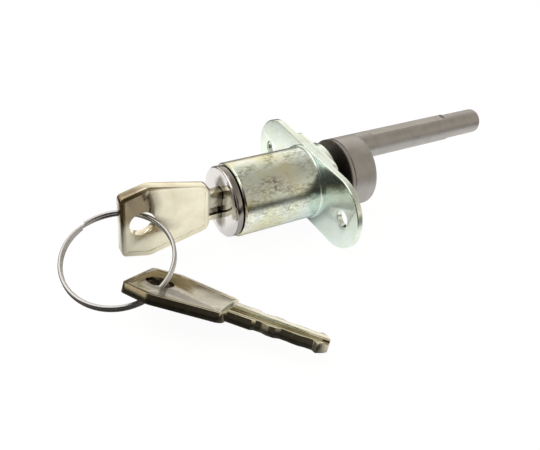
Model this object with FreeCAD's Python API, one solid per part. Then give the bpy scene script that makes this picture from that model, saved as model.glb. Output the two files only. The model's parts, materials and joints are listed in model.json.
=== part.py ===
# Pedestal lock with two keys on a split ring.
# Units are millimetres.  The origin is the centre of the flange's front face, on
# the lock axis.  +Y runs along the lock axis to the rear, +X along the flange's
# long axis and +Z up.  The key is in the lock and the lock is in its first stop.
import math
import os

import FreeCAD
import Part

V = FreeCAD.Vector
X = V(1, 0, 0)
Y = V(0, 1, 0)
Z = V(0, 0, 1)
os.makedirs("parts", exist_ok=True)

# How far a cut runs past a piece, and how deep two joined forms share each other
PAST = 1.0
SHARE = 0.2
TINY = 1e-5

# Barrel and flange, one casting
BARREL_R = 8.25
BARREL_L = 19.60
BARREL_EDGE = 0.35
FLANGE_HALF = 20.9
FLANGE_SIDE = 8.5
FLANGE_T = 1.45
FLANGE_EDGE = 0.25
PAD_HALF = 8.4
PAD_CORNER = 1.8
PAD_T = 1.05
BEAD = 0.35
BEAD_INSET = 0.10
HUB_STEP = 0.05
HUB_EDGE = 0.30
FIX_EDGE = 5.5
FIX_R = 2.0
BARREL_FRONT = -BARREL_L
HUB_R = BARREL_R + HUB_STEP
FIX_X = FLANGE_HALF - FIX_EDGE

# Chrome cap, pressed over the plug's head
CAP_INSET = 0.39
CAP_T = 0.50
CAP_SKIRT_T = 0.36
CAP_DEPTH = 1.60
CAP_GAP = 0.45
CAP_EDGE = 0.30
CAP_LINE_AT = 0.36
CAP_LINE_W = 0.14
CAP_LINE_D = 0.10
CAP_SLOT_CLEAR = 0.05
FIT = 0.03
CAP_R = BARREL_R - CAP_INSET
HEAD_END = BARREL_FRONT - CAP_GAP
FACE_Y = HEAD_END - CAP_DEPTH

# Plug and its running fit
PLUG_R = 6.10
RUN = 0.05
NECK_STEP = 0.60
BORE_R = PLUG_R + RUN

# Detent, and a stop pin that turns in a recess at the casting's rear end
DETENT_Y = 0.6
BALL_R = 0.8
BALL_SUNK = 0.55
BALL_GROOVE_CLEAR = 0.10
BALL_GROOVE_SIDE = 0.15
DETENT_FLOOR = 2.0
DETENT_SPRING_R = 0.70
DETENT_SPRING_WIRE = 0.14
STOP_GAP = 2.8
STOP_R = 0.6
STOP_FIT = 0.02
STOP_OUT = 0.95
STOP_FLOOR = 3.85
STOP_CLEAR = 0.10
STOP_TO_END = 1.05
BALL_AT = PLUG_R - BALL_SUNK
STOP_Y = DETENT_Y + STOP_GAP
STOP_REACH = PLUG_R + STOP_OUT
HUB_END = STOP_Y + STOP_TO_END

# Wafers, spaced evenly from the barrel's front to the retaining wafer
WAFER_N = 5
WAFER_IN = 1.1
WAFER_T = 0.9
WAFER_HALF = 2.75
WAFER_SHORT = 0.05
SLOT_CLEAR = 0.08
EAR_X = 4.5
EAR_Z0 = 2.4
EAR_Z1 = 3.35
POCKET_Z = 1.0
POCKET_CLEAR = 0.10
SPRING_R = 0.46
SPRING_WIRE = 0.11
SPRING_TURNS = 4
RELIEF_SIDE = 0.20
RELIEF_ENDS = 0.35
RELIEF_OUT = 1.05
RETAIN_GAP = 3.6
RETAIN_OUT = 0.45
RETAIN_FOOT = 1.5
RETAIN_FLOOR = 4.6
RETAIN_CLEAR = 0.10
RETAIN_SIDE = 0.15
LAST_WAFER_GAP = 5.9
RETAIN_Y = DETENT_Y - RETAIN_GAP
RETAIN_R = PLUG_R + RETAIN_OUT
WAFER_Y0 = BARREL_FRONT + WAFER_IN
WAFER_PITCH = (RETAIN_Y - LAST_WAFER_GAP - WAFER_Y0) / (WAFER_N - 1)

# Key: a flat blank with cuts on both edges
KEY_T = 2.0
BLADE_W = 7.0
BOW_L = 19.6
BOW_HALF = 8.72
BOW_WIDE_X = 6.0
BOW_END_HALF = 7.165
SHOULDER_OUT = 2.03
END_CORNER = 1.2
WIDE_CORNER = 3.0
SHOULDER_CORNER = 1.9
NECK_L = 2.95
TIP_GAP = 1.7
TIP_L = 1.8
TIP_DROP = 0.10
TIP_ROUND_L = 0.6
TIP_ROUND_HALF = 2.1
TIP_HALF = 1.0
KEY_HOLE_X = 4.6
KEY_HOLE_R = 2.8
GROOVE_W = 2.0
GROOVE_D = 0.50
GROOVE_OFF = 1.2
RIB_CLEAR = 0.20
RIB_REACH_CLEAR = 0.15
PANEL_D = 0.12
PANEL_RIM = 1.1
PANEL_CORNER = 0.6
KEY_CLEAR = 0.12
CUTS = (0.65, 0.20, 0.90, 0.70, 1.00)
CUT_FLAT = 0.7
CUT_SLOPE = 0.7
KEYWAY_TO_RETAIN = 0.9
KEYWAY_END = RETAIN_Y - KEYWAY_TO_RETAIN
KEY_L = BOW_L + NECK_L + KEYWAY_END - TIP_GAP - FACE_Y
KEY_END_Y = FACE_Y - NECK_L - BOW_L

# Tail, washer and clip
TAIL_R = 3.6
TAIL_SQ = 5.0
TAIL_IN = 4.45
SQ_CLEAR = 0.04
WASHER_R = 6.5
WASHER_T = 0.5
WASHER_PLAY = 0.06
CLIP_R = 5.3
CLIP_T = 0.6
CLIP_GAP = 0.10
CLIP_GROOVE_R = 3.0
CLIP_FIT = 0.04
CLIP_MOUTH = 2.4
WASHER_Y = HUB_END + WASHER_PLAY
CLIP_Y = WASHER_Y + WASHER_T + CLIP_GAP

# Cam with its drive pin, and the grub screw that holds it on the tail
CAM_R = 8.35
CAM_GAP = 3.10
CAM_L = 7.45
CAM_EDGE = 0.9
CAM_LIP = 0.35
CAM_GROOVE_W = 0.9
CAM_GROOVE_D = 0.30
PIN_R = 3.25
PIN_ANG = 125.6
PIN_L = 39.4
PIN_STEP = 0.20
PIN_STEP_IN = 0.5
PIN_EDGE = 0.9
PIN_ROOT = 2.0
LAND_IN = 4.5
LAND_L = 23.5
LAND_DEPTH = 0.30
LAND_ANG = 97.0
GRUB_R = 1.45
GRUB_IN = 2.05
GRUB_SUNK = 0.75
GRUB_POINT = 0.30
HEX_R = 0.87
HEX_DEPTH = 1.4
CAM_Y0 = HUB_END + CAM_GAP
CAM_Y1 = CAM_Y0 + CAM_L
TAIL_END = CAM_Y0 + TAIL_IN
GRUB_Y = CAM_Y0 + GRUB_IN
PIN_OFF = CAM_R - PIN_R
PIN_X = PIN_OFF * math.cos(math.radians(PIN_ANG))
PIN_Z = PIN_OFF * math.sin(math.radians(PIN_ANG))
PIN_END = CAM_Y1 + PIN_L
PIN_TIP_R = PIN_R - PIN_STEP
LAND_Y0 = CAM_Y1 + LAND_IN
LAND_Y1 = LAND_Y0 + LAND_L

# Split ring: two turns of round wire.  It lies in the holes of both keys, so its
# middle and the spare key's hole follow from the first key's hole.
WIRE_R = 0.40
WIRE_GAP = 0.05
RING_R = 11.05
RING_N = V(0.225, -0.21, 0.951)
RING_WAY = V(0.6393, -0.7292, -0.2447)
SPARE_WAY = V(0.8792, 0.4587, -0.1290)
WIRE_ROOM = 0.84
SPARE_WIRE_ROOM = 1.29
STEP_ANG = 330.0
STEP_SPAN_ANG = 60.0
WIRE_END_ANG = 715.0
RING_START_ANG = 200.0
COIL_PITCH = 2 * WIRE_R + WIRE_GAP
WIRES_R = math.hypot(WIRE_R + COIL_PITCH / 2, WIRE_R)

# Spare key: its length and width directions
SPARE_ALONG = V(0.755, 0.656, -0.035)
SPARE_ACROSS = V(-0.590, 0.656, -0.470)


def unit(v):
    out = V(v)
    out.normalize()
    return out


KEY_HOLE = V(0, KEY_END_Y + KEY_HOLE_X, 0)
RING_C = KEY_HOLE + unit(RING_WAY) * (RING_R + WIRES_R + WIRE_ROOM - KEY_HOLE_R)
SPARE_HOLE = RING_C + unit(SPARE_WAY) * (RING_R + WIRES_R + SPARE_WIRE_ROOM - KEY_HOLE_R)


def save(shape, node):
    shape.exportStep("parts/" + node + ".step")
    print(node, len(shape.Solids), shape.isValid(), round(shape.Volume, 2))


def rod(r, y0, y1, x=0.0, z=0.0):
    """A round bar along the lock axis."""
    return Part.makeCylinder(r, y1 - y0, V(x, y0, z), Y)


def cone(r0, r1, y0, y1):
    return Part.makeCone(r0, r1, y1 - y0, V(0, y0, 0), Y)


def tube(r_in, r_out, y0, y1):
    return rod(r_out, y0, y1).cut(rod(r_in, y0 - PAST, y1 + PAST))


def box(x0, x1, y0, y1, z0, z1):
    return Part.makeBox(x1 - x0, y1 - y0, z1 - z0, V(x0, y0, z0))


def flat(points, z):
    """A flat face in the key's own plane, from half its outline and the mirror image."""
    pts = [V(px, py, z) for px, py in points]
    pts += [V(px, -py, z) for px, py in reversed(points)]
    return Part.Face(Part.makePolygon(pts + [pts[0]]))


def edges_along(shape, axis):
    """The straight edges that run along an axis."""
    out = []
    for e in shape.Edges:
        run = e.Vertexes[-1].Point.sub(e.Vertexes[0].Point)
        if run.Length > TINY and run.cross(axis).Length < TINY:
            out.append(e)
    return out


def skin(rings):
    """A solid through a row of closed sections that have the same number of points."""
    faces = []
    count = len(rings[0])
    for a, b in zip(rings[:-1], rings[1:]):
        for i in range(count):
            j = (i + 1) % count
            for tri in ((a[i], a[j], b[j]), (a[i], b[j], b[i])):
                faces.append(Part.Face(Part.makePolygon([tri[0], tri[1], tri[2], tri[0]])))
    for end in (rings[0], rings[-1]):
        faces.append(Part.Face(Part.makePolygon(list(end) + [end[0]])))
    solid = Part.Solid(Part.Shell(faces))
    if solid.Volume < 0:
        solid.reverse()
    return solid


def coil(start, end, r, wire, per_turn=8):
    """A small compression spring with a square wire, from start to end."""
    length = end.sub(start).Length
    axis = unit(end.sub(start))
    side = unit(axis.cross(X) if abs(axis.dot(X)) < 0.9 else axis.cross(Y))
    other = axis.cross(side)
    rings = []
    steps = SPRING_TURNS * per_turn
    for k in range(steps + 1):
        turn = 2 * math.pi * k / per_turn
        out = side * math.cos(turn) + other * math.sin(turn)
        mid = start + axis * (wire + (length - 2 * wire) * k / steps) + out * (r - wire)
        rings.append([mid + out * wire, mid + axis * wire, mid - out * wire, mid - axis * wire])
    return skin(rings)


# Casting

def obround(half, side, y0, y1):
    mid = half - side
    return box(-mid, mid, y0, y1, -side, side).fuse(rod(side, y0, y1, mid)).fuse(
        rod(side, y0, y1, -mid)).removeSplitter()


def flange_plate():
    shape = obround(FLANGE_HALF, FLANGE_SIDE, 0, FLANGE_T)
    rims = [e for e in shape.Edges if abs(e.CenterOfMass.y) < TINY
            or abs(e.CenterOfMass.y - FLANGE_T) < TINY]
    return shape.makeFillet(FLANGE_EDGE, rims)


def flange_pad():
    """The raised pad on the flange's rear face."""
    pad = box(-PAD_HALF, PAD_HALF, FLANGE_T - SHARE, FLANGE_T + PAD_T, -FLANGE_SIDE, FLANGE_SIDE)
    return pad.makeFillet(PAD_CORNER, edges_along(pad, Y))


def flange_bead():
    """The raised line round the barrel's root, as wide as the flange allows."""
    bead = cone(BARREL_R, BARREL_R + BEAD, -BEAD, SHARE)
    side = FLANGE_SIDE - BEAD_INSET
    out = BARREL_R + BEAD + PAST
    return bead.common(box(-out, out, -BEAD - PAST, PAST, -side, side))


def wafer_relief():
    """Two grooves the wafers spring out into when the key is out."""
    half = WAFER_HALF + RELIEF_SIDE
    first = wafer_ys()[0] - WAFER_T / 2 - RELIEF_ENDS
    last = wafer_ys()[-1] + WAFER_T / 2 + RELIEF_ENDS
    out = PLUG_R + RELIEF_OUT
    return box(-half, half, first, last, -out, out)


def stop_recess():
    """Half a turn of recess, open to the rear, in which the stop pin travels."""
    start = STOP_Y - STOP_R - STOP_CLEAR
    recess = rod(STOP_REACH + STOP_CLEAR, start, HUB_END + PAST)
    out = STOP_REACH + PAST
    return recess.common(box(-out, out, start, HUB_END + PAST, -out, STOP_R + STOP_CLEAR))


def lock_body():
    shape = rod(BARREL_R, BARREL_FRONT + BARREL_EDGE, FLANGE_T)
    shape = shape.fuse(cone(BARREL_R - BARREL_EDGE, BARREL_R, BARREL_FRONT,
                            BARREL_FRONT + BARREL_EDGE))
    hub = rod(HUB_R, FLANGE_T - SHARE, HUB_END - HUB_EDGE)
    hub = hub.fuse(cone(HUB_R, HUB_R - HUB_EDGE, HUB_END - HUB_EDGE, HUB_END))
    shape = shape.fuse([flange_plate(), flange_bead(), flange_pad(), hub]).removeSplitter()
    for x in (-FIX_X, FIX_X):
        shape = shape.cut(rod(FIX_R, -PAST, FLANGE_T + PAST, x))
    shape = shape.cut(rod(BORE_R, BARREL_FRONT - PAST, HUB_END + PAST))
    shape = shape.cut(wafer_relief())
    half = WAFER_T / 2 + RETAIN_SIDE
    shape = shape.cut(rod(RETAIN_R + RETAIN_CLEAR, RETAIN_Y - half, RETAIN_Y + half))
    half = BALL_R + BALL_GROOVE_SIDE
    shape = shape.cut(rod(BALL_AT + BALL_R + BALL_GROOVE_CLEAR, DETENT_Y - half, DETENT_Y + half))
    return shape.cut(stop_recess())


# Plug and what it carries

def keyway(y0, y1):
    half = KEY_T / 2 + KEY_CLEAR
    high = BLADE_W / 2 + KEY_CLEAR
    slot = box(-half, half, y0, y1, -high, high)
    deep = KEY_T / 2 - GROOVE_D + RIB_REACH_CLEAR
    rib = GROOVE_W / 2 - RIB_CLEAR
    for sign in (-1, 1):
        a, b = sorted((sign * deep, sign * (half + PAST)))
        mid = -sign * GROOVE_OFF
        slot = slot.cut(box(a, b, y0, y1, mid - rib, mid + rib))
    return slot


def wafer_ys():
    return [WAFER_Y0 + WAFER_PITCH * i for i in range(WAFER_N)]


def wafer_side(i):
    """Wafers spring out by turns, one up and one down."""
    return 1 if i % 2 == 0 else -1


def wafer_slot(y, up):
    half = WAFER_HALF + SLOT_CLEAR
    t = WAFER_T / 2 + SLOT_CLEAR
    slot = box(-half, half, y - t, y + t, -PLUG_R - PAST, PLUG_R + PAST)
    a, b = sorted((-up * POCKET_Z, up * (EAR_Z1 + POCKET_CLEAR)))
    return slot.fuse(box(half - SHARE, EAR_X + POCKET_CLEAR, y - t, y + t, a, b))


def plug():
    front = FACE_Y + CAP_T + FIT
    shape = rod(PLUG_R, front, HUB_END - RUN)
    shape = shape.fuse(rod(CAP_R - CAP_SKIRT_T - FIT, front, HEAD_END))
    shape = shape.fuse(rod(PLUG_R + NECK_STEP, HEAD_END, BARREL_FRONT - RUN))
    shape = shape.fuse(rod(TAIL_R, HUB_END - RUN, CAM_Y0))
    s = TAIL_SQ / 2
    shape = shape.fuse(box(-s, s, CAM_Y0, TAIL_END, -s, s)).removeSplitter()
    shape = shape.cut(keyway(FACE_Y - PAST, KEYWAY_END))
    for i, y in enumerate(wafer_ys()):
        shape = shape.cut(wafer_slot(y, wafer_side(i)))
    half = WAFER_HALF + SLOT_CLEAR
    t = WAFER_T / 2 + SLOT_CLEAR
    shape = shape.cut(box(-half, half, RETAIN_Y - t, RETAIN_Y + t, -RETAIN_FLOOR, PLUG_R + PAST))
    shape = shape.cut(Part.makeCylinder(BALL_R + RUN, PLUG_R, V(-DETENT_FLOOR, DETENT_Y, 0), -X))
    shape = shape.cut(Part.makeCylinder(STOP_R + STOP_FIT, PLUG_R, V(STOP_FLOOR, STOP_Y, 0), X))
    return shape.cut(tube(CLIP_GROOVE_R, TAIL_R + PAST, CLIP_Y - RUN, CLIP_Y + CLIP_T + RUN))


def face_cap():
    disc = rod(CAP_R, FACE_Y + CAP_EDGE, HEAD_END)
    disc = disc.fuse(cone(CAP_R - CAP_EDGE, CAP_R, FACE_Y, FACE_Y + CAP_EDGE))
    disc = disc.cut(rod(CAP_R - CAP_SKIRT_T, FACE_Y + CAP_T, HEAD_END + PAST))
    # A turned line round the edge, just behind the face
    line = FACE_Y + CAP_LINE_AT
    disc = disc.cut(tube(CAP_R - CAP_LINE_D, CAP_R + PAST, line, line + CAP_LINE_W))
    half = KEY_T / 2 + KEY_CLEAR + CAP_SLOT_CLEAR
    high = BLADE_W / 2 + KEY_CLEAR + CAP_SLOT_CLEAR
    return disc.cut(box(-half, half, FACE_Y - PAST, HEAD_END + PAST, -high, high))


def wafer(y, up):
    t = WAFER_T / 2
    body = rod(PLUG_R - WAFER_SHORT, y - t, y + t)
    body = body.common(box(-WAFER_HALF, WAFER_HALF, y - t, y + t, -PLUG_R, PLUG_R))
    a, b = sorted((up * EAR_Z0, up * EAR_Z1))
    body = body.fuse(box(WAFER_HALF - SHARE, EAR_X, y - t, y + t, a, b)).removeSplitter()
    half = KEY_T / 2 + KEY_CLEAR
    high = BLADE_W / 2 + KEY_CLEAR
    return body.cut(box(-half, half, y - t - PAST, y + t + PAST, -high, high))


def wafer_spring(y, up):
    x = (WAFER_HALF + SLOT_CLEAR + EAR_X + POCKET_CLEAR) / 2
    foot = V(x, y, -up * (POCKET_Z - FIT))
    return coil(foot, V(x, y, up * (EAR_Z0 - FIT)), SPRING_R, SPRING_WIRE)


def retaining_wafer():
    t = WAFER_T / 2
    body = rod(RETAIN_R, RETAIN_Y - t, RETAIN_Y + t)
    return body.common(box(-WAFER_HALF, WAFER_HALF, RETAIN_Y - t, RETAIN_Y + t,
                           -RETAIN_FOOT, RETAIN_R + PAST))


def retaining_spring():
    foot = V(0, RETAIN_Y, FIT - RETAIN_FLOOR)
    return coil(foot, V(0, RETAIN_Y, -RETAIN_FOOT - FIT), SPRING_R, SPRING_WIRE)


def detent_spring():
    foot = V(-DETENT_FLOOR - FIT, DETENT_Y, 0)
    top = V(-BALL_AT + BALL_R + FIT, DETENT_Y, 0)
    return coil(foot, top, DETENT_SPRING_R, DETENT_SPRING_WIRE)


def stop_pin():
    start = STOP_FLOOR + RUN
    return Part.makeCylinder(STOP_R, STOP_REACH - start, V(start, STOP_Y, 0), X)


# Rear fastening and cam

def rear_washer():
    return tube(TAIL_R + RUN, WASHER_R, WASHER_Y, WASHER_Y + WASHER_T)


def retaining_clip():
    clip = tube(CLIP_GROOVE_R + CLIP_FIT, CLIP_R, CLIP_Y, CLIP_Y + CLIP_T)
    return clip.cut(box(-CLIP_MOUTH, CLIP_MOUTH, CLIP_Y - PAST, CLIP_Y + CLIP_T + PAST,
                        -CLIP_R - PAST, 0))


def cam_drum():
    drum = rod(CAM_R, CAM_Y0, CAM_Y1)
    rear = [e for e in drum.Edges if abs(e.CenterOfMass.y - CAM_Y1) < TINY]
    drum = drum.makeFillet(CAM_EDGE, rear)
    # A crescent groove behind the front lip, deepest at the top
    y0 = CAM_Y0 + CAM_LIP
    groove = rod(CAM_R + PAST, y0, y0 + CAM_GROOVE_W)
    return drum.cut(groove.cut(rod(CAM_R, y0 - PAST, y0 + CAM_GROOVE_W + PAST, 0, -CAM_GROOVE_D)))


def drive_pin():
    # The pin's free end is cast a little smaller than the rest
    step = LAND_Y1 + PIN_STEP_IN
    end = rod(PIN_TIP_R, step, PIN_END, PIN_X, PIN_Z)
    rim = [e for e in end.Edges if abs(e.CenterOfMass.y - PIN_END) < TINY]
    pin = rod(PIN_R, CAM_Y1 - PIN_ROOT, step, PIN_X, PIN_Z).fuse(end.makeFillet(PIN_EDGE, rim))
    land = box(PIN_R - LAND_DEPTH, PIN_R + PAST, LAND_Y0, LAND_Y1, -PIN_R, PIN_R)
    land.rotate(V(0, 0, 0), Y, -LAND_ANG)
    land.translate(V(PIN_X, 0, PIN_Z))
    return pin.cut(land)


def drive_cam():
    shape = cam_drum().fuse(drive_pin())
    s = TAIL_SQ / 2 + SQ_CLEAR
    shape = shape.cut(box(-s, s, CAM_Y0 - PAST, TAIL_END + RUN, -s, s))
    return shape.cut(Part.makeCylinder(GRUB_R + SQ_CLEAR, CAM_R + PAST, V(0, GRUB_Y, 0), -Z))


def grub_screw():
    z0, z1 = GRUB_SUNK - CAM_R, -TAIL_SQ / 2 - SQ_CLEAR
    top = z1 - GRUB_POINT
    shape = Part.makeCylinder(GRUB_R, top - z0, V(0, GRUB_Y, z0), Z)
    shape = shape.fuse(Part.makeCone(GRUB_R, GRUB_R - GRUB_POINT, GRUB_POINT, V(0, GRUB_Y, top), Z))
    corners = []
    for k in range(6):
        a = math.radians(60 * k)
        corners.append(V(HEX_R * math.cos(a), GRUB_Y + HEX_R * math.sin(a), z0 - PAST))
    socket = Part.Face(Part.makePolygon(corners + [corners[0]])).extrude(Z * (PAST + HEX_DEPTH))
    return shape.cut(socket)


# Keys and ring

def bow_plan():
    """Half of the bow's outline, from its end to the shoulder, with each corner's rounding."""
    return [(0.0, BOW_END_HALF, END_CORNER), (BOW_WIDE_X, BOW_HALF, WIDE_CORNER),
            (BOW_L, BLADE_W / 2 + SHOULDER_OUT, SHOULDER_CORNER)]


def bow():
    shape = flat([(px, py) for px, py, r in bow_plan()], -KEY_T / 2).extrude(Z * KEY_T)
    for px, py, r in bow_plan():
        corners = [e for e in edges_along(shape, Z) if abs(e.CenterOfMass.x - px) < TINY
                   and abs(abs(e.CenterOfMass.y) - py) < TINY]
        shape = shape.makeFillet(r, corners)
    return shape


def blade_outline():
    edge = BLADE_W / 2
    half = [(BOW_L - PAST, edge)]
    first = wafer_ys()[0] - KEY_END_Y
    half.append((first - CUT_FLAT - CUT_SLOPE, edge))
    for y, cut in zip(wafer_ys(), CUTS):
        at = y - KEY_END_Y
        half += [(at - CUT_FLAT, edge - cut), (at + CUT_FLAT, edge - cut)]
    half += [(KEY_L - TIP_L, edge - TIP_DROP), (KEY_L - TIP_ROUND_L, TIP_ROUND_HALF),
             (KEY_L, TIP_HALF)]
    return half


def bow_panel(low):
    """A tool for the sunk panel on one side, a rim's width inside the bow."""
    plan = flat([(px, py) for px, py, r in bow_plan()], low).makeOffset2D(-PANEL_RIM)
    tool = plan.extrude(Z * (PAST + PANEL_D))
    return tool.makeFillet(PANEL_CORNER, edges_along(tool, Z))


def key_blank():
    half = KEY_T / 2
    shape = bow().fuse(flat(blade_outline(), -half).extrude(Z * KEY_T)).removeSplitter()
    hole = Part.makeCylinder(KEY_HOLE_R, KEY_T + 2 * PAST, V(KEY_HOLE_X, 0, -half - PAST), Z)
    shape = shape.cut([hole, bow_panel(half - PANEL_D), bow_panel(-half - PAST)])
    for sign in (-1, 1):
        mid = -sign * GROOVE_OFF
        low = half - GROOVE_D if sign > 0 else -half - PAST
        corner = V(BOW_L, mid - GROOVE_W / 2, low)
        shape = shape.cut(Part.makeBox(KEY_L, GROOVE_W, PAST + GROOVE_D, corner))
    return shape


def placed(shape, origin, along, across):
    """Carries the key's own x, y and z to along, across and their cross product."""
    along = unit(along)
    across = unit(across - along * across.dot(along))
    up = along.cross(across)
    m = FreeCAD.Matrix(along.x, across.x, up.x, origin.x, along.y, across.y, up.y, origin.y,
                       along.z, across.z, up.z, origin.z, 0, 0, 0, 1)
    out = shape.copy()
    out.Placement = FreeCAD.Placement(m)
    return out


def on_ring(angle, z):
    a = math.radians(angle)
    return V(RING_R * math.cos(a), RING_R * math.sin(a), z)


def ring_turn(z, a0, a1):
    return Part.Arc(on_ring(a0, z), on_ring((a0 + a1) / 2, z), on_ring(a1, z)).toShape()


def ring_crossing(z0, z1, a0, a1):
    """The short stretch where the wire steps from one turn to the other."""
    points = []
    for k in range(7):
        u = k / 6
        points.append(on_ring(a0 + (a1 - a0) * u, z0 + (z1 - z0) * (3 * u * u - 2 * u ** 3)))
    curve = Part.BSplineCurve()
    curve.interpolate(points, InitialTangent=on_ring(a0 + 90, 0), FinalTangent=on_ring(a1 + 90, 0))
    return curve.toShape()


def split_ring():
    h = COIL_PITCH / 2
    step_end = STEP_ANG + STEP_SPAN_ANG
    path = Part.Wire([ring_turn(-h, 0, STEP_ANG), ring_crossing(-h, h, STEP_ANG, step_end),
                      ring_turn(h, step_end, WIRE_END_ANG)])
    section = Part.Wire(Part.makeCircle(WIRE_R, on_ring(0, -h), Y))
    ring = path.makePipeShell([section], True, True)
    # The wire's free end is turned to the ring's far left
    ring.rotate(V(0, 0, 0), Z, RING_START_ANG)
    axis = unit(RING_N)
    ring.rotate(V(0, 0, 0), Z.cross(axis), math.degrees(Z.getAngle(axis)))
    ring.translate(RING_C)
    return ring


save(lock_body(), "lock_body")
save(plug(), "plug")
save(face_cap(), "face_cap")
for index, wafer_y in enumerate(wafer_ys()):
    save(wafer(wafer_y, wafer_side(index)), "wafer_%d" % (index + 1))
    save(wafer_spring(wafer_y, wafer_side(index)), "wafer_spring_%d" % (index + 1))
save(retaining_wafer(), "retaining_wafer")
save(retaining_spring(), "retaining_spring")
save(Part.makeSphere(BALL_R, V(-BALL_AT, DETENT_Y, 0)), "detent_ball")
save(detent_spring(), "detent_spring")
save(stop_pin(), "stop_pin")
save(rear_washer(), "rear_washer")
save(retaining_clip(), "retaining_clip")
save(drive_cam(), "drive_cam")
save(grub_screw(), "grub_screw")
blank = key_blank()
save(placed(blank, V(0, KEY_END_Y, 0), Y, Z), "key_1")
save(placed(blank, SPARE_HOLE - unit(SPARE_ALONG) * KEY_HOLE_X, SPARE_ALONG, SPARE_ACROSS), "key_2")
save(split_ring(), "split_ring")
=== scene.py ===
# %% [markdown]
# A pedestal lock lies on a pale table: a plated zinc barrel with a fixing flange, a bare
# zinc cam with a long drive pin, a key in the lock and a spare key on a split ring.
# Its solids come from the CAD model.  This lesson lights them, softens the edges that
# the eye reads, and gives each metal its own surface.

# %% Load the frame
import json
import math

import bpy
from mathutils import Matrix, Vector


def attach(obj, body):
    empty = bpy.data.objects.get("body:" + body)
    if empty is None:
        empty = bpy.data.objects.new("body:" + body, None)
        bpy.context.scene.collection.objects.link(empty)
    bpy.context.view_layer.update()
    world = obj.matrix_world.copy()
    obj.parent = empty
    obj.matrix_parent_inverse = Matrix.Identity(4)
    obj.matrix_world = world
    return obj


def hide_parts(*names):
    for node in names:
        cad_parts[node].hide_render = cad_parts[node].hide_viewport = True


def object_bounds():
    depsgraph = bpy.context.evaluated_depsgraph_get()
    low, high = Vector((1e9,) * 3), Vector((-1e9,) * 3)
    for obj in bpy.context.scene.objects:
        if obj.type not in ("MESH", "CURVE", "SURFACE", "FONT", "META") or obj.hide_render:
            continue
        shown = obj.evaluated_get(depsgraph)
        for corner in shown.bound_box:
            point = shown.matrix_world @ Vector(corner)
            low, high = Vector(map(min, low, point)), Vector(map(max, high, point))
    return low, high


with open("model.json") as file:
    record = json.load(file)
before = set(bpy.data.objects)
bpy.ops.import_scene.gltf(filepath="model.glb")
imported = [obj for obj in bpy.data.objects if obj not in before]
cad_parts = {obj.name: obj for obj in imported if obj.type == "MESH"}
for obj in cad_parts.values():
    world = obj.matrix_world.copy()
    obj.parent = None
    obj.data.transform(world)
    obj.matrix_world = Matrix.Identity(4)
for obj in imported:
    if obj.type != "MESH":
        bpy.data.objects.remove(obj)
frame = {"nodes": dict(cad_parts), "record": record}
CAD_BOX = [list(corner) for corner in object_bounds()]
NODES = frame["nodes"]
MM = 0.001
print("CAD box in metres:", CAD_BOX)

# %% [markdown]
# The camera stands where the photograph's camera stood.  Its place and its three
# directions were worked out from the round outlines of the barrel, the flange and the
# cam, which fix a view well.  The focal length is 665 pixels of a picture that is 540
# pixels wide.

# %% Camera
PHOTO_W = 540
FOCAL_PX = 665.4
SENSOR_W = 36
CLIP_NEAR, CLIP_FAR = 0.005, 20
CAMERA_AT = Vector((103.08, -77.39, 84.48)) * MM
CAMERA_RIGHT = Vector((0.4940, 0.8642, 0.0957))
CAMERA_UP = Vector((-0.5669, 0.2367, 0.7891))

camera_data = bpy.data.cameras.new("camera")
camera_data.sensor_width = SENSOR_W
camera_data.lens = FOCAL_PX / PHOTO_W * SENSOR_W
camera_data.clip_start = CLIP_NEAR
camera_data.clip_end = CLIP_FAR
camera = bpy.data.objects.new("camera", camera_data)
camera_back = CAMERA_RIGHT.cross(CAMERA_UP)
turn = Matrix((CAMERA_RIGHT, CAMERA_UP, camera_back)).transposed().to_4x4()
camera.matrix_world = Matrix.Translation(CAMERA_AT) @ turn
bpy.context.collection.objects.link(camera)
bpy.context.scene.camera = camera
bpy.context.scene.view_settings.view_transform = "Standard"
print("lens:", round(camera_data.lens, 2), "mm")

# %% [markdown]
# Two helpers serve every material.  One turns a colour as a painter writes it into the
# linear numbers that a shader wants.  The other adds one node with its settings and
# links.  The short functions after them name the kinds of node that come back again
# and again, so that a material reads from top to bottom.

# %% Colour and node helpers
WHITE = (1, 1, 1, 1)
BLACK = (0, 0, 0, 1)
NUMBER_RESULTS = ("DISTANCE", "DOT_PRODUCT", "LENGTH")


def colour(hexa):
    """A linear colour from an sRGB hex value."""
    out = []
    for i in (0, 2, 4):
        c = int(hexa[i:i + 2], 16) / 255
        out.append(c / 12.92 if c <= 0.04045 else ((c + 0.055) / 1.055) ** 2.4)
    return (*out, 1.0)


def add(tree, kind, inputs=None, **settings):
    """Adds a node, with its settings, and values or links for its inputs."""
    made = tree.nodes.new(kind)
    for name, value in settings.items():
        setattr(made, name, value)
    for name, value in (inputs or {}).items():
        if isinstance(value, bpy.types.NodeSocket):
            tree.links.new(value, made.inputs[name])
        else:
            made.inputs[name].default_value = value
    return made


def noise(tree, place, size, detail, **more):
    """Noise with features of this many millimetres.  Places are in metres."""
    return add(tree, "ShaderNodeTexNoise", {
        "Vector": place, "Scale": 1000.0 / size, "Detail": detail, **more}).outputs[0]


def ramp(tree, value, start, end, low=0.0, high=1.0, kind="LINEAR"):
    """A number that goes from low to high while value goes from start to end."""
    return add(tree, "ShaderNodeMapRange", {
        "Value": value, "From Min": start, "From Max": end, "To Min": low, "To Max": high},
        interpolation_type=kind).outputs[0]


def calc(tree, operation, *values):
    """Arithmetic on numbers."""
    return add(tree, "ShaderNodeMath", dict(enumerate(values)), operation=operation).outputs[0]


def vector(tree, operation, *values):
    """Arithmetic on vectors.  A length, a distance or a dot product is a number."""
    made = add(tree, "ShaderNodeVectorMath", dict(enumerate(values)), operation=operation)
    return made.outputs["Value" if operation in NUMBER_RESULTS else "Vector"]


def axes(tree, place):
    """The X, Y and Z of a place."""
    return add(tree, "ShaderNodeSeparateXYZ", {"Vector": place}).outputs


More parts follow.
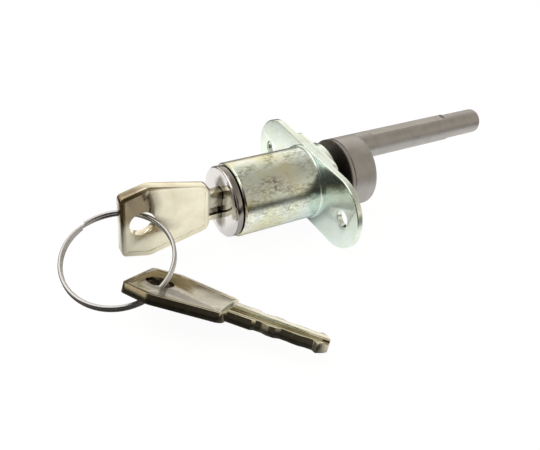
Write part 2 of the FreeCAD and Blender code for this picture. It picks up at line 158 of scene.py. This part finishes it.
def blend(tree, share, first, second):
    """A colour that goes from first to second while share goes from 0 to 1."""
    return add(tree, "ShaderNodeMix", {
        0: share, 6: first, 7: second}, data_type="RGBA").outputs[2]


def between(tree, share, first, second):
    """A number that goes from first to second while share goes from 0 to 1."""
    return add(tree, "ShaderNodeMix", {
        0: share, 2: first, 3: second}, data_type="FLOAT").outputs[0]


def bumpy(tree, shader, height, strength, depth):
    """Gives the surface small bumps, up to this many millimetres deep."""
    bump = add(tree, "ShaderNodeBump", {
        "Height": height, "Strength": strength, "Distance": depth * MM})
    tree.links.new(bump.outputs[0], shader.inputs["Normal"])


def start_material(name):
    """An empty node material, with its shader and output, and its Object coordinates."""
    made = bpy.data.materials.new(name)
    made.use_nodes = True
    tree = made.node_tree
    tree.nodes.clear()
    shader = add(tree, "ShaderNodeBsdfPrincipled", {"Metallic": 1.0})
    add(tree, "ShaderNodeOutputMaterial", {"Surface": shader.outputs["BSDF"]})
    place = add(tree, "ShaderNodeTexCoord").outputs["Object"]
    return made, tree, shader, place


# %% [markdown]
# The barrel and flange are one zinc casting, plated bright and dipped in a passivation
# that leaves a thin film.  The film is uneven, so the metal drifts between pale silver,
# straw yellow and a cool blue-green over a few millimetres, and small olive flecks show
# where the film is thick.  The plating copies the casting's skin, which gives it a
# slight ripple.  The flange's front face is at Y = 0, and the barrel is before it.

# %% Passivated zinc
SILVER, STRAW, BLUE_GREEN, OLIVE = "E8ECE6", "DDDEBE", "DAEAE8", "716B49"
ROOT_RADIUS, ROOT_FADED = 8.6 * MM, 12.5 * MM
FILM_STEP = -0.6 * MM, -0.1 * MM
FLECKS_THIN_AHEAD = -1.5 * MM, -0.3 * MM
FLECKS_THIN_BELOW = -3.5 * MM, 1.0 * MM
LENGTHWISE = (1.0, 0.50, 1.0)


def passivated_zinc():
    made, tree, shader, place = start_material("passivated_zinc_casting")
    at = axes(tree, place)
    film = ramp(tree, noise(tree, place, 6.0, 4.0, Distortion=0.8), 0.38, 0.60)
    silver_to_straw = blend(tree, film, colour(SILVER), colour(STRAW))
    # The film is thinner and bluer in clouds, on the flange, and where the barrel meets it
    cool = ramp(tree, noise(tree, place, 14.0, 2.0, Distortion=0.3), 0.46, 0.64, 0.0, 0.8)
    on_flange = ramp(tree, at["Y"], *FILM_STEP, 0.0, 0.7)
    from_root = vector(tree, "DISTANCE", place, (0, 0, 0))
    at_root = ramp(tree, from_root, ROOT_RADIUS, ROOT_FADED, 0.85, 0.0)
    for share in (on_flange, at_root):
        cool = calc(tree, "MAXIMUM", cool, share)
    tinted = blend(tree, cool, silver_to_straw, colour(BLUE_GREEN))
    # Flecks gather in clouds, drawn out along the barrel as the dip ran off it
    drawn = add(tree, "ShaderNodeMapping", {"Vector": place, "Scale": LENGTHWISE}).outputs[0]
    fleck = noise(tree, drawn, 0.55, 7.0, Roughness=0.75, Distortion=0.6)
    flecked = ramp(tree, fleck, 0.42, 0.62, 0.0, 0.90)
    clouded = ramp(tree, noise(tree, drawn, 4.0, 3.0, Distortion=0.8), 0.42, 0.62, 0.15, 1.0)
    # There are more of them on the barrel than on the flange, and more above than below
    on_barrel = ramp(tree, at["Y"], *FLECKS_THIN_AHEAD, 1.0, 0.25)
    above = ramp(tree, at["Z"], *FLECKS_THIN_BELOW, 0.45, 1.0)
    for share in (clouded, on_barrel, above):
        flecked = calc(tree, "MULTIPLY", flecked, share)
    stained = blend(tree, flecked, tinted, colour(OLIVE))
    tree.links.new(stained, shader.inputs["Base Color"])
    tree.links.new(ramp(tree, fleck, 0.35, 0.75, 0.15, 0.32), shader.inputs["Roughness"])
    bumpy(tree, shader, noise(tree, drawn, 1.1, 5.0, Roughness=0.6), 0.55, 0.06)
    return made


# %% [markdown]
# The plug's face wears a pressed cap of bright chrome.  Chrome is a very even metal:
# what makes it look real is what it reflects and the faint marks that a key leaves.
# A dark reflection of the key is painted round the keyway, and painted shade darkens the band
# behind the face.

# %% Chrome
CHROME, CHROME_SHADE = "C9C9CC", "4A4432"
KEYWAY_HALF = (0, 0, 3.2 * MM)
HALO_RAGGED = 2.5 * MM
HALO_FULL, HALO_ENDS = 3.2 * MM, 4.9 * MM
BAND_BEGINS, BAND_FULL = -21.4 * MM, -21.1 * MM


def bright_chrome():
    made, tree, shader, place = start_material("bright_chrome")
    wear = noise(tree, place, 2.5, 6.0)
    tree.links.new(ramp(tree, wear, 0.3, 0.7, 0.05, 0.14), shader.inputs["Roughness"])
    # Painted reflection: the chrome round the keyway is darkened for the key's dark mirror
    # image
    past_slot = vector(tree, "SUBTRACT", vector(tree, "ABSOLUTE", place), KEYWAY_HALF)
    past_slot = vector(tree, "MAXIMUM", past_slot, (0, 0, 0))
    past_slot = vector(tree, "MULTIPLY", past_slot, (1, 0, 1))
    ragged = calc(tree, "MULTIPLY_ADD", wear, HALO_RAGGED, vector(tree, "LENGTH", past_slot))
    painted_dark = ramp(tree, ragged, HALO_FULL, HALO_ENDS, 0.85, 0.0, "SMOOTHSTEP")
    # Painted shade: the band behind the face darkens toward the gap before the barrel
    band = ramp(tree, axes(tree, place)["Y"], BAND_BEGINS, BAND_FULL, 0.0, 0.6)
    painted_dark = calc(tree, "MAXIMUM", painted_dark, band)
    tree.links.new(blend(tree, painted_dark, colour(CHROME), colour(CHROME_SHADE)),
                   shader.inputs["Base Color"])
    return made


# %% [markdown]
# The cam and its pin are a bare zinc casting.  Zinc dulls to a warm grey in a few
# weeks, so it is matt, a little mottled, and grainy where the die's surface was.

# %% Bare zinc
DULL_ZINC, LIGHT_ZINC, PAINTED_GAP_SHADE = "A1A09F", "B2B1B1", "4C443C"
CAM_FACE, CAM_SIDE = 7.75 * MM, 8.1 * MM


def bare_zinc():
    made, tree, shader, place = start_material("bare_zinc_casting")
    mottle = noise(tree, place, 3.0, 6.0, Roughness=0.65)
    zinc = blend(tree, ramp(tree, mottle, 0.35, 0.65), colour(DULL_ZINC), colour(LIGHT_ZINC))
    # Painted shade: the face that turns against the washer is darkened nearly to black, for the
    # shade in the gap before it
    painted_dark = ramp(tree, axes(tree, place)["Y"], CAM_FACE, CAM_SIDE, 0.9, 0.0)
    tree.links.new(blend(tree, painted_dark, zinc, colour(PAINTED_GAP_SHADE)), shader.inputs["Base Color"])
    tree.links.new(ramp(tree, mottle, 0.3, 0.7, 0.42, 0.54), shader.inputs["Roughness"])
    bumpy(tree, shader, noise(tree, place, 0.30, 2.0), 0.35, 0.03)
    return made


# %% [markdown]
# The keys are stamped from nickel silver, a pale yellow-white copper alloy, and
# tumbled until they shine.  Handling leaves brown stains and fine scratches.

# %% Nickel silver
PATCH_DARK = "6E5C3C"
PATCH_CORE = 5.0 * MM
PATCH_RAGGED = 5 * MM


def nickel_silver(name, pale, brown, browned, patch_at, patch_share, patch_reach):
    """Pale metal with brown stains, and a darkened patch round one place."""
    made, tree, shader, place = start_material(name)
    stain = noise(tree, place, 5.0, 5.0, Distortion=0.4)
    base = blend(tree, ramp(tree, stain, 0.42, 0.68, 0.0, browned), colour(pale), colour(brown))
    # A dark patch round one place, ragged because the stain bends its edge; on the first key it
    # is a painted dark reflection
    from_patch = vector(tree, "DISTANCE", place, patch_at)
    spread = calc(tree, "MULTIPLY_ADD", stain, PATCH_RAGGED, from_patch)
    dark = ramp(tree, spread, PATCH_CORE, patch_reach * MM, patch_share, 0.0, "SMOOTHSTEP")
    tree.links.new(blend(tree, dark, base, colour(PATCH_DARK)), shader.inputs["Base Color"])
    rub = noise(tree, place, 0.9, 4.0)
    tree.links.new(ramp(tree, rub, 0.3, 0.7, 0.10, 0.22), shader.inputs["Roughness"])
    bumpy(tree, shader, rub, 0.15, 0.03)
    return made


# %% [markdown]
# The small parts are spring wire, plain steel, blackened steel and machined brass.
# Few of them show, but each has its own colour and a roughness that varies a little.

# %% Small metals
def small_metal(name, hexa, low, high, size):
    """One colour, with a roughness from low to high in spots of size millimetres."""
    made, tree, shader, place = start_material(name)
    shader.inputs["Base Color"].default_value = colour(hexa)
    rub = noise(tree, place, size, 4.0)
    tree.links.new(ramp(tree, rub, 0.3, 0.7, low, high), shader.inputs["Roughness"])
    return made


# The first key has a painted dark reflection at the upper left of its bow; the spare key is
# darkened round its hole
FIRST_PAINTED_REFLECTION = (1.0 * MM, -41.2 * MM, 4.6 * MM)
SPARE_PATCH_AT = (16.3 * MM, -42.1 * MM, -3.7 * MM)
METALS = {
    "passivated_zinc": passivated_zinc(),
    "chrome_cap": bright_chrome(),
    "raw_zinc": bare_zinc(),
    "nickel_silver": nickel_silver(
        "nickel_silver_bright", "E4E1CE", "BEB494", browned=0.35,
        patch_at=FIRST_PAINTED_REFLECTION, patch_share=0.80, patch_reach=8.5),
    "ring_steel": small_metal("bright_spring_wire", "C0C0C2", 0.20, 0.34, 1.5),
    "plug_brass": small_metal("darkened_brass", "5A4E36", 0.35, 0.50, 1.0),
    "wafer_brass": small_metal("stamped_brass", "B79A5C", 0.25, 0.40, 1.0),
    "spring_steel": small_metal("dark_plain_steel", "302E2B", 0.35, 0.50, 1.0),
    "screw_steel": small_metal("blackened_steel", "3A3A3C", 0.35, 0.50, 1.0),
}
SPARE_METAL = nickel_silver(
    "nickel_silver_stained", "E2DDC8", "A39978", browned=0.60,
    patch_at=SPARE_PATCH_AT, patch_share=0.72, patch_reach=24.0)
for part_row in frame["record"]["subparts"]:
    worn = NODES[part_row["node"]].data.materials
    worn.clear()
    worn.append(METALS[part_row["material_slot"]])
print("materials:", len(METALS) + 1)

# %% [markdown]
# A CAD edge is perfectly sharp, and a sharp edge catches no light.  Real castings and
# stampings have a small radius on every edge, and that thin bright line is what tells
# the eye that a piece is metal.  Each visible solid is copied, its loose triangles are
# merged back into faces, and a Bevel modifier rounds the edges.

# %% Soften the edges
SAME_POINT = 0.002 * MM
SAME_PLANE_DEG = 0.6
EDGE_DEG = 32
EDGE_SEGMENTS = 2


def softened(node, name, body, width, smooth=35, metal=None):
    """A copy of a solid with edges rounded by width millimetres, to stand for it."""
    bpy.ops.object.select_all(action="DESELECT")
    piece = NODES[node].copy()
    piece.data = NODES[node].data.copy()
    piece.name = name
    piece.data.name = name
    piece.parent = None
    bpy.context.collection.objects.link(piece)
    piece.matrix_world = Matrix.Identity(4)
    bpy.context.view_layer.objects.active = piece
    piece.select_set(True)
    if piece.data.has_custom_normals:
        bpy.ops.mesh.customdata_custom_splitnormals_clear()
    bpy.ops.object.mode_set(mode="EDIT")
    bpy.ops.mesh.select_all(action="SELECT")
    bpy.ops.mesh.remove_doubles(threshold=SAME_POINT)
    bpy.ops.mesh.dissolve_limited(angle_limit=math.radians(SAME_PLANE_DEG))
    bpy.ops.object.mode_set(mode="OBJECT")
    bevel = piece.modifiers.new("edges", "BEVEL")
    bevel.width = width * MM
    bevel.segments = EDGE_SEGMENTS
    bevel.limit_method = "ANGLE"
    bevel.angle_limit = math.radians(EDGE_DEG)
    bevel.use_clamp_overlap = True
    bevel.miter_outer = "MITER_ARC"
    bpy.ops.object.modifier_apply(modifier="edges")
    bpy.ops.object.shade_smooth_by_angle(angle=math.radians(smooth))
    if metal is not None:
        piece.data.materials.clear()
        piece.data.materials.append(metal)
    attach(piece, body)
    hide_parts(node)
    print(name, len(piece.data.polygons), "faces")


softened("key_1", "key_in_lock_blank", "key_in_lock", 0.09)
softened("key_2", "spare_key_blank", "spare_key", 0.09, metal=SPARE_METAL)
softened("face_cap", "face_cap_rounded", "rotor", 0.10)
softened("lock_body", "lock_body_rounded", "housing", 0.18)
softened("drive_cam", "drive_cam_rounded", "rotor", 0.15, smooth=20)

# %% [markdown]
# Where the barrel leaves the flange the die had a small round groove, so the casting
# has a soft roll there.  It is a torus, a little stretched along the barrel and sunk
# for more than half of its depth.

# %% Roll at the barrel's root
ROLL_RADIUS = 8.22 * MM
ROLL_THICKNESS = 0.42 * MM
ROLL_Y = -0.42 * MM
ROLL_STRETCH = 1.35
ROLL_STEPS_ROUND, ROLL_STEPS_ACROSS = 160, 16

bpy.ops.object.select_all(action="DESELECT")
bpy.ops.mesh.primitive_torus_add(
    major_radius=ROLL_RADIUS, minor_radius=ROLL_THICKNESS,
    major_segments=ROLL_STEPS_ROUND, minor_segments=ROLL_STEPS_ACROSS,
    location=(0, ROLL_Y, 0), rotation=(math.radians(90), 0, 0))
roll = bpy.context.active_object
roll.name = "root_roll"
bpy.ops.object.transform_apply(location=True, rotation=True, scale=True)
bpy.ops.object.mode_set(mode="EDIT")
bpy.ops.mesh.select_all(action="SELECT")
bpy.ops.transform.resize(value=(1.0, ROLL_STRETCH, 1.0))
bpy.ops.object.mode_set(mode="OBJECT")
bpy.ops.object.shade_smooth()
roll.data.materials.append(METALS["passivated_zinc"])
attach(roll, "housing")

# %% [markdown]
# The set is a white table under soft light.  To the camera the floor is nearly white
# and keeps a faint shadow.  Polished metal is drawn by what it mirrors, so glossy rays
# see more of the set: the table ends toward a dark room in front of the lock, it is
# bright paper only in a strip along the lock, and it is dark where the lock lies on it.

# %% Floor
FLOOR_GAP = 0.02 * MM
TABLE_SIZE = 3.0
TABLE_GLOW = 0.52
TABLE_PAPER = (0.90, 0.90, 0.90, 1)
CAMERA_LIFT = 0.90
ENDS_TOWARD = Vector((0.5, -0.866, 0.0))
END_BEGINS, END_DONE, END_LEVEL = 31 * MM, 45 * MM, 0.08
LOCK_MIDDLE = (0, -8 * MM, 0)
CONTACT_X, CONTACT_Y = (2 * MM, 6.5 * MM), (9 * MM, 13 * MM)
CONTACT_LEVEL = 0.05
STRIP_MIDDLE, STRIP_HALF = (0, 5 * MM, 0), (0, 50 * MM, 0)
STRIP_FADES, STRIP_FADED, STRIP_LEVEL = 30 * MM, 60 * MM, 0.20

bpy.ops.object.select_all(action="DESELECT")
bpy.ops.mesh.primitive_plane_add(size=TABLE_SIZE, location=(0, 0, CAD_BOX[0][2] - FLOOR_GAP))
floor = bpy.context.active_object
floor.name = "table_top"
floor_paint = bpy.data.materials.new("table_white")
floor_paint.use_nodes = True
tree = floor_paint.node_tree
tree.nodes.clear()
place = add(tree, "ShaderNodeTexCoord").outputs["Object"]
forward = vector(tree, "DOT_PRODUCT", place, ENDS_TOWARD)
table = ramp(tree, forward, END_BEGINS, END_DONE, 1.0, END_LEVEL, "SMOOTHSTEP")
# Under the lock itself no light reaches the table
beside = axes(tree, vector(tree, "ABSOLUTE", vector(tree, "SUBTRACT", place, LOCK_MIDDLE)))
off_side = ramp(tree, beside["X"], *CONTACT_X, CONTACT_LEVEL)
off_end = ramp(tree, beside["Y"], *CONTACT_Y, CONTACT_LEVEL)
clear = calc(tree, "MAXIMUM", off_side, off_end)
# Away from the strip along the lock the table is darker
away = vector(tree, "ABSOLUTE", vector(tree, "SUBTRACT", place, STRIP_MIDDLE))
away = vector(tree, "MAXIMUM", vector(tree, "SUBTRACT", away, STRIP_HALF), (0, 0, 0))
away = vector(tree, "LENGTH", away)
far = ramp(tree, away, STRIP_FADES, STRIP_FADED, 1.0, STRIP_LEVEL)
for shade in (clear, far):
    table = calc(tree, "MULTIPLY", table, shade)
rays = add(tree, "ShaderNodeLightPath").outputs
share = between(tree, rays["Is Glossy Ray"], 1.0, table)
matt = add(tree, "ShaderNodeBsdfDiffuse", {"Color": blend(tree, share, BLACK, TABLE_PAPER)})
glow = add(tree, "ShaderNodeEmission", {
    "Color": WHITE, "Strength": calc(tree, "MULTIPLY", share, TABLE_GLOW)})
lit = add(tree, "ShaderNodeAddShader", {0: matt.outputs[0], 1: glow.outputs[0]})
white = add(tree, "ShaderNodeEmission", {"Color": WHITE, "Strength": 1.0})
lift = calc(tree, "MULTIPLY", rays["Is Camera Ray"], CAMERA_LIFT)
shown = add(tree, "ShaderNodeMixShader", {0: lift, 1: lit.outputs[0], 2: white.outputs[0]})
add(tree, "ShaderNodeOutputMaterial", {"Surface": shown.outputs[0]})
floor.data.materials.append(floor_paint)

# %% [markdown]
# The sky is bright at the sides, dimmer overhead, brightest on the wall behind the
# lock, and nearly dark toward the room behind the camera.  A grey line lies at the
# horizon, where the table ends.  The camera itself sees a white backdrop.

# %% Sky
WARM_WHITE = "FFF3E0"
HORIZON_HEIGHTS = 0.04, 0.18
HORIZON_LEVEL = 0.25

world = bpy.data.worlds.new("studio")
bpy.context.scene.world = world
world.use_nodes = True
tree = world.node_tree
tree.nodes.clear()
aim = add(tree, "ShaderNodeTexCoord").outputs["Generated"]


def patch(toward, edge, middle, outer, inner):
    """A soft round patch of sky: its level goes from outer at its edge to inner."""
    near = vector(tree, "DOT_PRODUCT", aim, Vector(toward).normalized())
    return ramp(tree, near, edge, middle, outer, inner, "SMOOTHSTEP")


overhead = patch((0.0, 0.2, 1.0), 0.30, 0.95, 0.98, 0.52)
back_wall = patch((-0.80, 0.45, 0.40), 0.60, 0.95, 0.0, 0.36)
room = patch((0.765, -0.597, 0.242), 0.52, 0.84, 1.0, 0.05)
height = calc(tree, "ABSOLUTE", axes(tree, aim)["Z"])
horizon = ramp(tree, height, *HORIZON_HEIGHTS, HORIZON_LEVEL, 1.0, "SMOOTHSTEP")
level = calc(tree, "ADD", overhead, back_wall)
for shade in (room, horizon):
    level = calc(tree, "MULTIPLY", level, shade)
camera_ray = add(tree, "ShaderNodeLightPath").outputs["Is Camera Ray"]
warm = blend(tree, back_wall, colour(WARM_WHITE), WHITE)
sky = add(tree, "ShaderNodeBackground", {
    "Color": blend(tree, camera_ray, warm, WHITE),
    "Strength": between(tree, camera_ray, level, 1.0)})
add(tree, "ShaderNodeOutputWorld", {"Surface": sky.outputs[0]})

# %% Lamp
LAMP_AT = Vector((-0.125, -0.217, 0.433))
LAMP_AIM = Vector((0.0, -0.01, 0.0))
LAMP_SIZE = 0.55
LAMP_POWER = 1.0

lamp_data = bpy.data.lights.new("top_softbox", "AREA")
lamp_data.shape = "RECTANGLE"
lamp_data.size = LAMP_SIZE
lamp_data.size_y = LAMP_SIZE
lamp_data.energy = LAMP_POWER
lamp = bpy.data.objects.new("top_softbox", lamp_data)
lamp.location = LAMP_AT
lamp.rotation_euler = (LAMP_AIM - LAMP_AT).to_track_quat("-Z", "Y").to_euler()
bpy.context.collection.objects.link(lamp)
